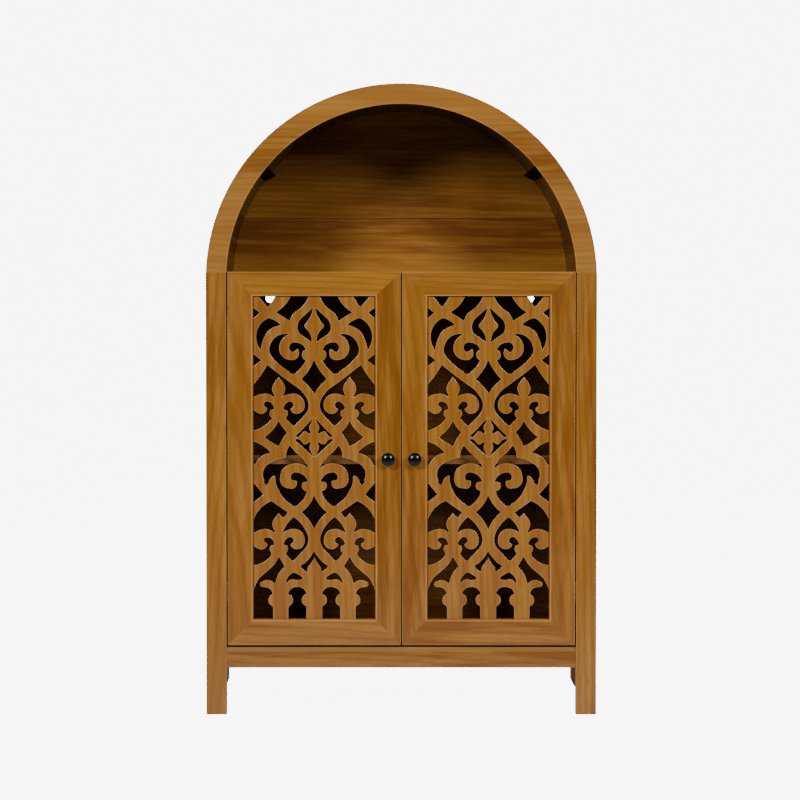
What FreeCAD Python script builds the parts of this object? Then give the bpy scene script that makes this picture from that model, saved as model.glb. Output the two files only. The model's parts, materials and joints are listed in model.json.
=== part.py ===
# An arched display cabinet with two fretwork doors.
# A face frame of two posts, an apron and a half-round arch stands in front of board sides, a floor for
# the open niche, a bottom board and a curved top made in two halves. Two inset doors close the lower
# part. Each has a mitred frame round a pierced panel, and hangs on two concealed hinges whose curved
# links turn half as far as the door. All lengths are in millimetres, +Z is up, the front faces -Y, and
# the origin is on the floor under the middle of the whole object.
import FreeCAD, Part
import os
import re

import Sketcher
from FreeCAD import Placement, Rotation, Vector

doc = FreeCAD.newDocument("ArchedFretworkCabinet")
sizes = doc.addObject("Spreadsheet::Sheet", "Sizes")

# Driving dimensions. Each name is an alias in the sheet and has an underscore.
driving = {
    # Whole cabinet
    "overall_width": 800,
    "carcass_depth": 400,
    "post_height": 906,
    "arch_centre_drop": 13.5,
    # Face frame
    "face_thickness": 24,
    "post_width": 42,
    "apron_bottom_height": 96.3,
    "apron_height": 42,
    "apron_setback": 1,
    "apron_chamfer_height": 8,
    "apron_chamfer_depth": 2.5,
    # Sides, boards and back
    "side_thickness": 24,
    "rear_post_depth": 42,
    "foot_chamfer_height": 12,
    "foot_chamfer_width": 6,
    "board_thickness": 18,
    "shell_thickness": 33,
    "back_thickness": 6,
    "back_lower_board_height": 120,
    "rear_rail_height": 24,
    "rear_rail_thickness": 20,
    # Cleats of triangular section inside the curved top, placed by degrees above the arch's centre
    "cleat_top_angle": 40,
    "cleat_bottom_angle": 36,
    "cleat_reach": 14,
    # Adjustable shelf and its pins
    "shelf_underside": 508.7,
    "shelf_front_setback": 85,
    "shelf_clearance": 1,
    "pin_diameter": 5,
    "pin_length": 16,
    "pin_hole_depth": 9,
    "pin_hole_pitch": 32,
    "pin_edge_distance": 40,
    # Doors
    "door_setback": 1,
    "door_gap": 2,
    "door_bottom_gap": 4.3,
    "door_top_rise": 2.3,
    "door_thickness": 20,
    "stile_width": 52.5,
    "top_rail_width": 50.5,
    "bottom_rail_width": 53,
    "frame_edge_chamfer": 2.5,
    # Pierced panel and the rebate that it sits in
    "panel_setback": 6,
    "panel_thickness": 9,
    "rebate_width": 8,
    "panel_clearance": 0.5,
    "hole_lip": 2,
    # Knob and its screw
    "knob_diameter": 27,
    "knob_reach": 25,
    "knob_head_thickness": 12.7,
    "knob_neck_diameter": 12,
    "knob_foot_diameter": 16,
    "knob_foot_height": 2.5,
    "knob_screw_diameter": 4,
    "knob_screw_depth": 12,
    "knob_screw_head_diameter": 9,
    "knob_screw_head_height": 2.5,
    # Concealed hinges
    "hinge_end_distance": 110,
    "hinge_case_height": 60,
    "hinge_case_depth": 13,
    "hinge_case_width": 11,
    "hinge_case_setback": 3,
    "hinge_plate_height": 86,
    "hinge_plate_thickness": 1.5,
    "link_inner_radius": 9,
    "link_outer_radius": 12,
    "link_half_angle": 60,
    "slot_half_angle": 62,
    "link_height": 12,
    "link_pitch": 14,
    "link_clearance": 0.3,
    "hinge_screw_diameter": 3.5,
    "hinge_screw_length": 16,
    "hinge_screw_head_diameter": 6.5,
    "hinge_screw_edge": 6,
    # Magnetic catches and strike plates
    "catch_length": 46,
    "catch_height": 14,
    "catch_depth": 16,
    "catch_distance": 60,
    "catch_gap": 0.3,
    "catch_screw_length": 24,
    "strike_length": 36,
    "strike_height": 13,
    "strike_thickness": 1.2,
    "small_screw_diameter": 3,
    "small_screw_length": 14,
    "small_screw_head_diameter": 5.6,
    "small_screw_head_height": 1.2,
    # Dowels
    "dowel_diameter": 8,
    "dowel_length": 30,
    # Holes through the back panel
    "back_hole_diameter": 20.2,
    "back_hole_side_distance": 91,
    "back_hole_drop": 37,
    # Fits and the overrun of cutting tools
    "fit_gap": 0.3,
    "cut_overrun": 5,
}

# Places worked out from the driving dimensions.
derived = {
    "outer_radius": "overall_width / 2",
    "front_plane": "-(carcass_depth - knob_reach + door_setback) / 2",
    "back_plane": "front_plane + carcass_depth",
    "face_back": "front_plane + face_thickness",
    "face_middle": "front_plane + face_thickness / 2",
    "panel_plane": "back_plane - back_thickness",
    "post_inner": "outer_radius - post_width",
    "side_inner": "outer_radius - side_thickness",
    "side_middle": "outer_radius - side_thickness / 2",
    "rear_post_front": "back_plane - rear_post_depth",
    "apron_front": "front_plane + apron_setback",
    "apron_top": "apron_bottom_height + apron_height",
    "arch_centre_height": "post_height - arch_centre_drop",
    "arch_inner_radius": "sqrt(post_inner ^ 2 + arch_centre_drop ^ 2)",
    "shell_inner_radius": "outer_radius - shell_thickness",
    "floor_underside": "post_height - board_thickness",
    "bottom_underside": "apron_top - board_thickness",
    "rear_rail_bottom": "bottom_underside - rear_rail_height",
    "door_front": "front_plane + door_setback",
    "door_back": "door_front + door_thickness",
    "door_inner": "door_gap / 2",
    "door_outer": "post_inner - door_gap",
    "door_bottom": "apron_top + door_bottom_gap",
    "door_top": "post_height + door_top_rise",
    "opening_inner": "door_inner + stile_width",
    "opening_outer": "door_outer - stile_width",
    "opening_bottom": "door_bottom + bottom_rail_width",
    "opening_top": "door_top - top_rail_width",
    "panel_back": "door_front + panel_setback + panel_thickness",
    "knob_centre": "door_inner + stile_width / 2",
    "knob_height": "(door_bottom + door_top) / 2",
    "hinge_axis": "(door_outer + post_inner) / 2",
    "hinge_low": "door_bottom + hinge_end_distance",
    "hinge_high": "door_top - hinge_end_distance",
    "hinge_front": "door_front + hinge_case_setback",
    "hinge_middle": "hinge_front + hinge_case_width / 2",
    "slot_half": "link_pitch + link_height / 2 + link_clearance",
    "catch_front": "door_back + strike_thickness + catch_gap",
    "catch_bottom": "floor_underside - catch_height",
    "catch_middle": "floor_underside - catch_height / 2",
    "shelf_front": "front_plane + shelf_front_setback",
    "shelf_back": "panel_plane - shelf_clearance",
    "pin_height": "shelf_underside - pin_diameter / 2",
    "back_joint_height": "post_height + back_lower_board_height",
    "back_hole_distance": "side_inner - back_hole_side_distance",
    "back_hole_height": "floor_underside - back_hole_drop",
}

for row, (alias, value) in enumerate(driving.items(), start=1):
    sizes.set("A%d" % row, alias)
    sizes.set("B%d" % row, str(value))
    sizes.setAlias("B%d" % row, alias)
doc.recompute()
for row, (alias, formula) in enumerate(derived.items(), start=len(driving) + 1):
    sizes.set("A%d" % row, alias)
    sizes.set("B%d" % row, "=" + formula)
    sizes.setAlias("B%d" % row, alias)
doc.recompute()

pieces = []
SIDES = ("left", "right")


def bound(text):
    """The same expression with every alias written as a cell of the sheet."""
    return re.sub(r"\b([a-z]+(?:_[a-z]+)+)\b", r"Sizes.\1", text)


def size(text):
    """The present value of an expression in aliases."""
    return float(sizes.evalExpression(bound(text)))


def bind(item, name, text):
    """Ties a property of an object to an expression in aliases."""
    item.setExpression(name, bound(text))


def place(item, x="0", y="0", z="0", rotation=Rotation()):
    """Turns an object, then ties its position to three expressions."""
    item.Placement = Placement(Vector(), rotation)
    for name, text in (("x", x), ("y", y), ("z", z)):
        bind(item, "Placement.Base." + name, text)
    return item


def piece(label, item):
    """Names an object as one of the separate pieces of the cabinet."""
    item.Label = label
    pieces.append(item)
    return item


def mirrored(low, high, side):
    """A pair of bounds along X on the right, or their mirror image on the left."""
    if side == "right":
        return (low, high)
    return ("-(%s)" % high, "-(%s)" % low)


def across(x, side):
    """A place along X on the right, or its mirror image on the left."""
    return x if side == "right" else "-(%s)" % x


# Solids made of primitives. A direction is the way that a round solid runs from its starting place.
DIRECTIONS = {
    "+x": Rotation(Vector(0, 1, 0), 90),
    "-x": Rotation(Vector(0, 1, 0), -90),
    "+y": Rotation(Vector(1, 0, 0), -90),
    "-y": Rotation(Vector(1, 0, 0), 90),
    "+z": Rotation(),
}


def box(x, y, z):
    """A box between a pair of expressions along each axis."""
    item = doc.addObject("Part::Box", "Box")
    for name, (low, high) in (("Length", x), ("Width", y), ("Height", z)):
        bind(item, name, "(%s) - (%s)" % (high, low))
    return place(item, x[0], y[0], z[0])


def cylinder(direction, radius, x, y, z, length):
    item = doc.addObject("Part::Cylinder", "Cylinder")
    bind(item, "Radius", radius)
    bind(item, "Height", length)
    return place(item, x, y, z, DIRECTIONS[direction])


def cone(direction, start_radius, end_radius, x, y, z, length):
    item = doc.addObject("Part::Cone", "Cone")
    bind(item, "Radius1", start_radius)
    bind(item, "Radius2", end_radius)
    bind(item, "Height", length)
    return place(item, x, y, z, DIRECTIONS[direction])


def group(items):
    """Several solids kept as one object."""
    item = doc.addObject("Part::Compound", "Group")
    item.Links = items
    return item


def cut(base, *tools):
    """The base less each tool in turn."""
    for tool in tools:
        item = doc.addObject("Part::Cut", "Cut")
        item.Base = base
        item.Tool = tool
        base = item
    return base


def fuse(*items):
    item = doc.addObject("Part::MultiFuse", "Fusion")
    item.Shapes = list(items)
    return item


def common(base, tool):
    item = doc.addObject("Part::Common", "Common")
    item.Base = base
    item.Tool = tool
    return item


def countersunk(direction, kind, x, y, z, length, head_height):
    """A flat-headed screw that runs in from a surface, with its head flush."""
    radius = kind + "_screw_diameter / 2"
    head = cone(direction, kind + "_screw_head_diameter / 2", radius, x, y, z, head_height)
    return fuse(head, cylinder(direction, radius, x, y, z, length))


def dowel(axis, x, y, z):
    """A dowel centred on a place and running along an axis."""
    start = {"x": x, "y": y, "z": z}
    start[axis] = "%s - dowel_length / 2" % start[axis]
    return cylinder("+" + axis, "dowel_diameter / 2", start["x"], start["y"], start["z"], "dowel_length")


# Solids made of a drawn outline.
def outline_sketch(body, role, corners, offset=None):
    """A closed outline of straight lines whose corners are pairs of expressions."""
    sketch = body.newObject("Sketcher::SketchObject", "Outline")
    plane = next(feature for feature in body.Origin.OriginFeatures if feature.Role == role)
    sketch.AttachmentSupport = [(plane, "")]
    sketch.MapMode = "FlatFace"
    if offset:
        bind(sketch, "AttachmentOffset.Base.z", offset)
    places = [Vector(size(x), size(y), 0) for x, y in corners]
    count = len(corners)
    for index in range(count):
        sketch.addGeometry(Part.LineSegment(places[index], places[(index + 1) % count]))
    for index in range(count):
        sketch.addConstraint(Sketcher.Constraint("Coincident", index, 2, (index + 1) % count, 1))
    for index, (x, y) in enumerate(corners):
        for kind, text, value in (("DistanceX", x, places[index].x), ("DistanceY", y, places[index].y)):
            number = sketch.addConstraint(Sketcher.Constraint(kind, -1, 1, index, 1, value))
            sketch.setExpression("Constraints[%d]" % number, bound(text))
    return sketch


def new_body():
    return doc.addObject("PartDesign::Body", "Body")


def pad(body, sketch, length, reverse=False):
    item = body.newObject("PartDesign::Pad", "Pad")
    item.Profile = sketch
    bind(item, "Length", length)
    item.Reversed = reverse
    return item


def pocket(body, sketch, length):
    item = body.newObject("PartDesign::Pocket", "Pocket")
    item.Profile = sketch
    bind(item, "Length", length)
    return item


def same(value, text):
    """Whether a measured value and an expression agree, to a millionth of the cabinet's width."""
    return abs(value - size(text)) < size("overall_width") * 1e-6


def chamfer(body, feature, test, width):
    """A chamfer on the edges of a feature whose two ends pass a test."""
    doc.recompute()
    names = ["Edge%d" % number for number, edge in enumerate(feature.Shape.Edges, start=1)
             if all(test(vertex.Point) for vertex in edge.Vertexes)]
    item = body.newObject("PartDesign::Chamfer", "Chamfer")
    item.Base = (feature, names)
    bind(item, "Size", width)
    return item


# Dowels of the carcass. Each group also cuts the holes that it sits in.
rows = ["front_plane + carcass_depth * %s" % share for share in (0.25, 0.5, 0.75)]

apron_dowels = group([
    dowel("x", across("post_inner", side), "face_middle", "apron_bottom_height + apron_height * %s" % share)
    for side in SIDES for share in (0.25, 0.7)])

board_dowels = group([
    dowel("x", across("side_inner", side), row, underside + " + board_thickness / 2")
    for side in SIDES for row in rows for underside in ("floor_underside", "bottom_underside")])

side_dowels = group([
    dowel("y", across("side_middle", side), seam, height)
    for side in SIDES for seam in ("face_back", "rear_post_front")
    for height in ("apron_top + dowel_length", "(apron_top + floor_underside) / 2",
                   "floor_underside - dowel_length")])

arch_dowels = group([
    dowel("z", across("post_inner + post_width * %s" % share, side), "face_middle", "post_height")
    for side in SIDES for share in (0.25, 0.75)] + [
    dowel("z", across("side_middle", side), "front_plane + carcass_depth * %s" % share, "post_height")
    for side in SIDES for share in (0.35, 0.65)] + [
    dowel("x", "0", row, "arch_centre_height + outer_radius - shell_thickness / 2") for row in rows])


# Hinges. Each has a case let into the door's edge, a case let into the post, and three curved links
# that slide in a curved slot of both. The slot is centred on the axis that the door turns on.
def hinge_case(side, height, edge, inward):
    """The outside of one case and its face plate, from the edge that they are let into."""
    solids = []
    for depth, tall in (("hinge_case_depth", "hinge_case_height"),
                        ("hinge_plate_thickness", "hinge_plate_height")):
        end = "%s %s %s" % (edge, inward, depth)
        x = (end, edge) if inward == "-" else (edge, end)
        solids.append(box(mirrored(x[0], x[1], side), ("hinge_front", "hinge_front + hinge_case_width"),
                          ("%s - %s / 2" % (height, tall), "%s + %s / 2" % (height, tall))))
    return fuse(*solids)


def hinge_arc(side, outer_radius, inner_radius, half_angle, bottom, height):
    """A curved strip about the hinge axis, as long on the door's side as on the post's."""
    solids = []
    for radius in (outer_radius, inner_radius):
        item = cylinder("+z", radius, across("hinge_axis", side), "door_front", bottom, height)
        bind(item, "Angle", "2 * " + half_angle)
        bind(item, "Placement.Rotation.Angle", "90 - " + half_angle)
        solids.append(item)
    return cut(*solids)


def hinge_slot(side, height):
    """The curved space that the three links of one hinge slide in."""
    return hinge_arc(side, "link_outer_radius + link_clearance", "link_inner_radius - link_clearance",
                     "slot_half_angle", height + " - slot_half", "2 * slot_half")


def hinge_link(side, bottom):
    return hinge_arc(side, "link_outer_radius", "link_inner_radius", "link_half_angle", bottom,
                     "link_height")


def hinge_screws(side, height, edge, inward):
    direction = {"right": inward, "left": {"+": "-", "-": "+"}[inward]}[side] + "x"
    return [countersunk(direction, "hinge", across(edge, side), "hinge_middle",
                        "%s %s (hinge_plate_height / 2 - hinge_screw_edge)" % (height, sign),
                        "hinge_screw_length", "hinge_plate_thickness")
            for sign in ("-", "+")]


HINGE_HEIGHTS = ("hinge_low", "hinge_high")
HINGE_SEATS = {"door": ("door_outer", "-"), "post": ("post_inner", "+")}
hinge_mortises = {}
hinge_screw_groups = {}
for side in SIDES:
    for carrier, (edge, inward) in HINGE_SEATS.items():
        cases = [hinge_case(side, height, edge, inward) for height in HINGE_HEIGHTS]
        screws = group([screw for height in HINGE_HEIGHTS
                        for screw in hinge_screws(side, height, edge, inward)])
        leaves = [cut(case, hinge_slot(side, height), screws)
                  for case, height in zip(cases, HINGE_HEIGHTS)]
        piece("%s_%s_hinge_cases" % (side, carrier), group(leaves))
        piece("%s_%s_hinge_screws" % (side, carrier), screws)
        hinge_mortises[side, carrier] = group(cases)
        hinge_screw_groups[side, carrier] = screws
    piece(side + "_hinge_links", group([
        hinge_link(side, "%s + link_pitch * (%d) - link_height / 2" % (height, step))
        for height in HINGE_HEIGHTS for step in (-1, 0, 1)]))


# Posts. The front pair is let in for the hinges. The rear pair has the inner corner of each foot cut off.
for side in SIDES:
    post = box(mirrored("post_inner", "outer_radius", side), ("front_plane", "face_back"),
               ("0", "post_height"))
    piece(side + "_front_post", cut(post, hinge_mortises[side, "post"], hinge_screw_groups[side, "post"],
                                    apron_dowels, side_dowels, arch_dowels))

    body = new_body()
    foot = [("outer_radius", "0"), ("outer_radius", "post_height"), ("side_inner", "post_height"),
            ("side_inner", "foot_chamfer_height"), ("side_inner + foot_chamfer_width", "0")]
    pad(body, outline_sketch(body, "XZ_Plane", [(across(x, side), z) for x, z in foot]),
        "rear_post_depth", reverse=True)
    place(body, y="rear_post_front")
    piece(side + "_rear_post", cut(body, side_dowels))

# Apron, with its upper front edge planed off.
body = new_body()
pad(body, outline_sketch(body, "YZ_Plane", [
    ("apron_front", "apron_bottom_height"),
    ("face_back", "apron_bottom_height"),
    ("face_back", "apron_top"),
    ("apron_front + apron_chamfer_depth", "apron_top"),
    ("apron_front", "apron_top - apron_chamfer_height")]), "2 * post_inner")
place(body, x="-post_inner")
piece("front_apron", cut(body, apron_dowels))


# Arch and curved top. Both are rings about one axis that runs from front to back.
def arch_ring(inner, x, y):
    """The part of a ring above the posts, between bounds along X and Y."""
    length = "%s - (%s)" % (y[1], y[0])
    outer = cylinder("+y", "outer_radius", "0", y[0], "arch_centre_height", length)
    hollow = cylinder("+y", inner, "0", y[0] + " - cut_overrun", "arch_centre_height",
                      length + " + 2 * cut_overrun")
    window = box(x, (y[0] + " - cut_overrun", y[1] + " + cut_overrun"),
                 ("post_height", "arch_centre_height + outer_radius + cut_overrun"))
    return common(cut(outer, hollow), window)


full_width = ("-outer_radius", "outer_radius")
piece("arch_front", cut(arch_ring("arch_inner_radius", full_width, ("front_plane", "face_back")),
                        arch_dowels))
for side in SIDES:
    half = mirrored("0", "outer_radius", side)
    piece(side + "_curved_top", cut(arch_ring("shell_inner_radius", half, ("face_back", "back_plane")),
                                    arch_dowels))

# Screws of the back. The niche's own back is screwed to the ends of the cleats.
cleat_middle = "(cleat_top_angle + cleat_bottom_angle) / 2"
cleat_screw_radius = "(shell_inner_radius - cleat_reach / 3)"
board_rows = [across("side_inner * %s" % share, side) for share in (0.4, 0.9) for side in SIDES]
lower_screws = group([
    countersunk("-y", "small", x, "back_plane", underside + " + board_thickness / 2",
                "small_screw_length", "small_screw_head_height")
    for x in board_rows for underside in ("floor_underside", "bottom_underside")])
upper_screws = group([
    countersunk("-y", "small", across("%s * cos(%s)" % (cleat_screw_radius, cleat_middle), side),
                "back_plane", "arch_centre_height + %s * sin(%s)" % (cleat_screw_radius, cleat_middle),
                "small_screw_length", "small_screw_head_height")
    for side in SIDES])
piece("back_panel_screws", group([lower_screws, upper_screws]))

# Cleats: strips of triangular section from the arch to the niche's back, with a flat face on top.
for side in SIDES:
    body = new_body()
    corners = [("shell_inner_radius", "cleat_top_angle"),
               ("(shell_inner_radius - cleat_reach)", "cleat_top_angle"),
               ("shell_inner_radius", "cleat_bottom_angle")]
    outline = [(across("%s * cos(%s)" % corner, side), "arch_centre_height + %s * sin(%s)" % corner)
               for corner in corners]
    pad(body, outline_sketch(body, "XZ_Plane", outline), "panel_plane - face_back", reverse=True)
    place(body, y="face_back")
    piece(side + "_niche_cleat", cut(body, upper_screws))

# Magnetic catches under the niche's floor.
catch_screws = {}
for side in SIDES:
    middle = across("catch_distance", side)
    catch_screws[side] = [
        countersunk("+z", "small", "%s %s catch_length * 0.35" % (middle, sign),
                    "catch_front + catch_depth / 2", "catch_bottom", "catch_screw_length",
                    "small_screw_head_height")
        for sign in ("-", "+")]
all_catch_screws = group(catch_screws["left"] + catch_screws["right"])
piece("catch_screws", all_catch_screws)
piece("magnetic_catches", cut(group([
    box(("%s - catch_length / 2" % across("catch_distance", side),
         "%s + catch_length / 2" % across("catch_distance", side)),
        ("catch_front", "catch_front + catch_depth"), ("catch_bottom", "floor_underside"))
    for side in SIDES]), all_catch_screws))

# Boards between the sides.
between = ("-side_inner", "side_inner")
piece("niche_floor", cut(box(between, ("face_back", "panel_plane"), ("floor_underside", "post_height")),
                         board_dowels, lower_screws, all_catch_screws))
piece("bottom_board", cut(box(between, ("face_back", "panel_plane"), ("bottom_underside", "apron_top")),
                          board_dowels, lower_screws))
piece("rear_rail", box(between, ("panel_plane - rear_rail_thickness", "panel_plane"),
                       ("rear_rail_bottom", "bottom_underside")))
piece("apron_dowels", apron_dowels)
piece("board_dowels", board_dowels)
piece("side_dowels", side_dowels)
piece("arch_dowels", arch_dowels)

# Back. One panel closes the lower part, and two boards joined edge to edge close the niche. The panel has a
# round hole near each upper corner, for a strap to the wall or for a cable.
behind = ("panel_plane", "back_plane")
back_holes = [cylinder("+y", "back_hole_diameter / 2", across("back_hole_distance", side),
                       "panel_plane - cut_overrun", "back_hole_height", "back_thickness + 2 * cut_overrun")
              for side in SIDES]
piece("lower_back_panel", cut(box(between, behind, ("rear_rail_bottom", "post_height")), lower_screws,
                              *back_holes))
niche_bounds = {"lower": ("post_height", "back_joint_height"),
                "upper": ("back_joint_height", "arch_centre_height + outer_radius")}
for level, z in niche_bounds.items():
    disc = cylinder("+y", "shell_inner_radius - fit_gap", "0", "panel_plane", "arch_centre_height",
                    "back_thickness")
    board = common(disc, box(full_width, behind, z))
    piece("niche_back_%s_board" % level, cut(board, upper_screws))

# Adjustable shelf on four pins, and side panels with three pin holes at each pin.
piece("adjustable_shelf", box(("-(side_inner - shelf_clearance)", "side_inner - shelf_clearance"),
                              ("shelf_front", "shelf_back"),
                              ("shelf_underside", "shelf_underside + board_thickness")))
pin_rows = ("shelf_front + pin_edge_distance", "shelf_back - pin_edge_distance")
piece("shelf_pins", group([
    cylinder({"right": "-x", "left": "+x"}[side], "pin_diameter / 2",
             across("side_inner + pin_length / 2", side), row, "pin_height", "pin_length")
    for side in SIDES for row in pin_rows]))
for side in SIDES:
    holes = [cylinder({"right": "+x", "left": "-x"}[side], "pin_diameter / 2", across("side_inner", side), row,
                      "pin_height + pin_hole_pitch * (%d)" % step, "pin_hole_depth")
             for row in pin_rows for step in (-1, 0, 1)]
    panel = box(mirrored("side_inner", "outer_radius", side), ("face_back", "rear_post_front"),
                ("apron_bottom_height", "post_height"))
    piece(side + "_side_panel", cut(panel, group(holes), board_dowels, side_dowels, arch_dowels))

# Frame of each door: two stiles and two rails, mitred at the corners and rebated behind for the panel.
RIGHT_OPENING = {"x": ("opening_inner", "opening_outer"), "z": ("opening_bottom", "opening_top")}
CORNERS = {
    "inner_bottom": (("door_inner", "door_bottom"), ("opening_inner", "opening_bottom")),
    "inner_top": (("door_inner", "door_top"), ("opening_inner", "opening_top")),
    "outer_top": (("door_outer", "door_top"), ("opening_outer", "opening_top")),
    "outer_bottom": (("door_outer", "door_bottom"), ("opening_outer", "opening_bottom")),
}
MEMBERS = {
    "inner_stile": ("inner_bottom", "inner_top"),
    "top_rail": ("inner_top", "outer_top"),
    "outer_stile": ("outer_top", "outer_bottom"),
    "bottom_rail": ("outer_bottom", "inner_bottom"),
}


def frame_member(side, name):
    """One mitred member, with its rebate and with the inner front edge taken off."""
    first, second = MEMBERS[name]
    outline = [CORNERS[first][0], CORNERS[second][0], CORNERS[second][1], CORNERS[first][1]]
    body = new_body()
    pad(body, outline_sketch(body, "XZ_Plane", [(across(x, side), z) for x, z in outline]),
        "door_thickness", reverse=True)
    rebate = [("opening_inner - rebate_width", "opening_bottom - rebate_width"),
              ("opening_outer + rebate_width", "opening_bottom - rebate_width"),
              ("opening_outer + rebate_width", "opening_top + rebate_width"),
              ("opening_inner - rebate_width", "opening_top + rebate_width")]
    sketch = outline_sketch(body, "XZ_Plane", [(across(x, side), z) for x, z in rebate],
                            offset="-panel_setback")
    cut_rebate = pocket(body, sketch, "door_thickness")
    inner_x, inner_z = zip(CORNERS[first][1], CORNERS[second][1])

    def on_inner_edge(point):
        return (same(point.y, "0")
                and any(same(abs(point.x), x) for x in inner_x)
                and any(same(point.z, z) for z in inner_z))

    chamfer(body, cut_rebate, on_inner_edge, "frame_edge_chamfer")
    return place(body, y="door_front")


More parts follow.
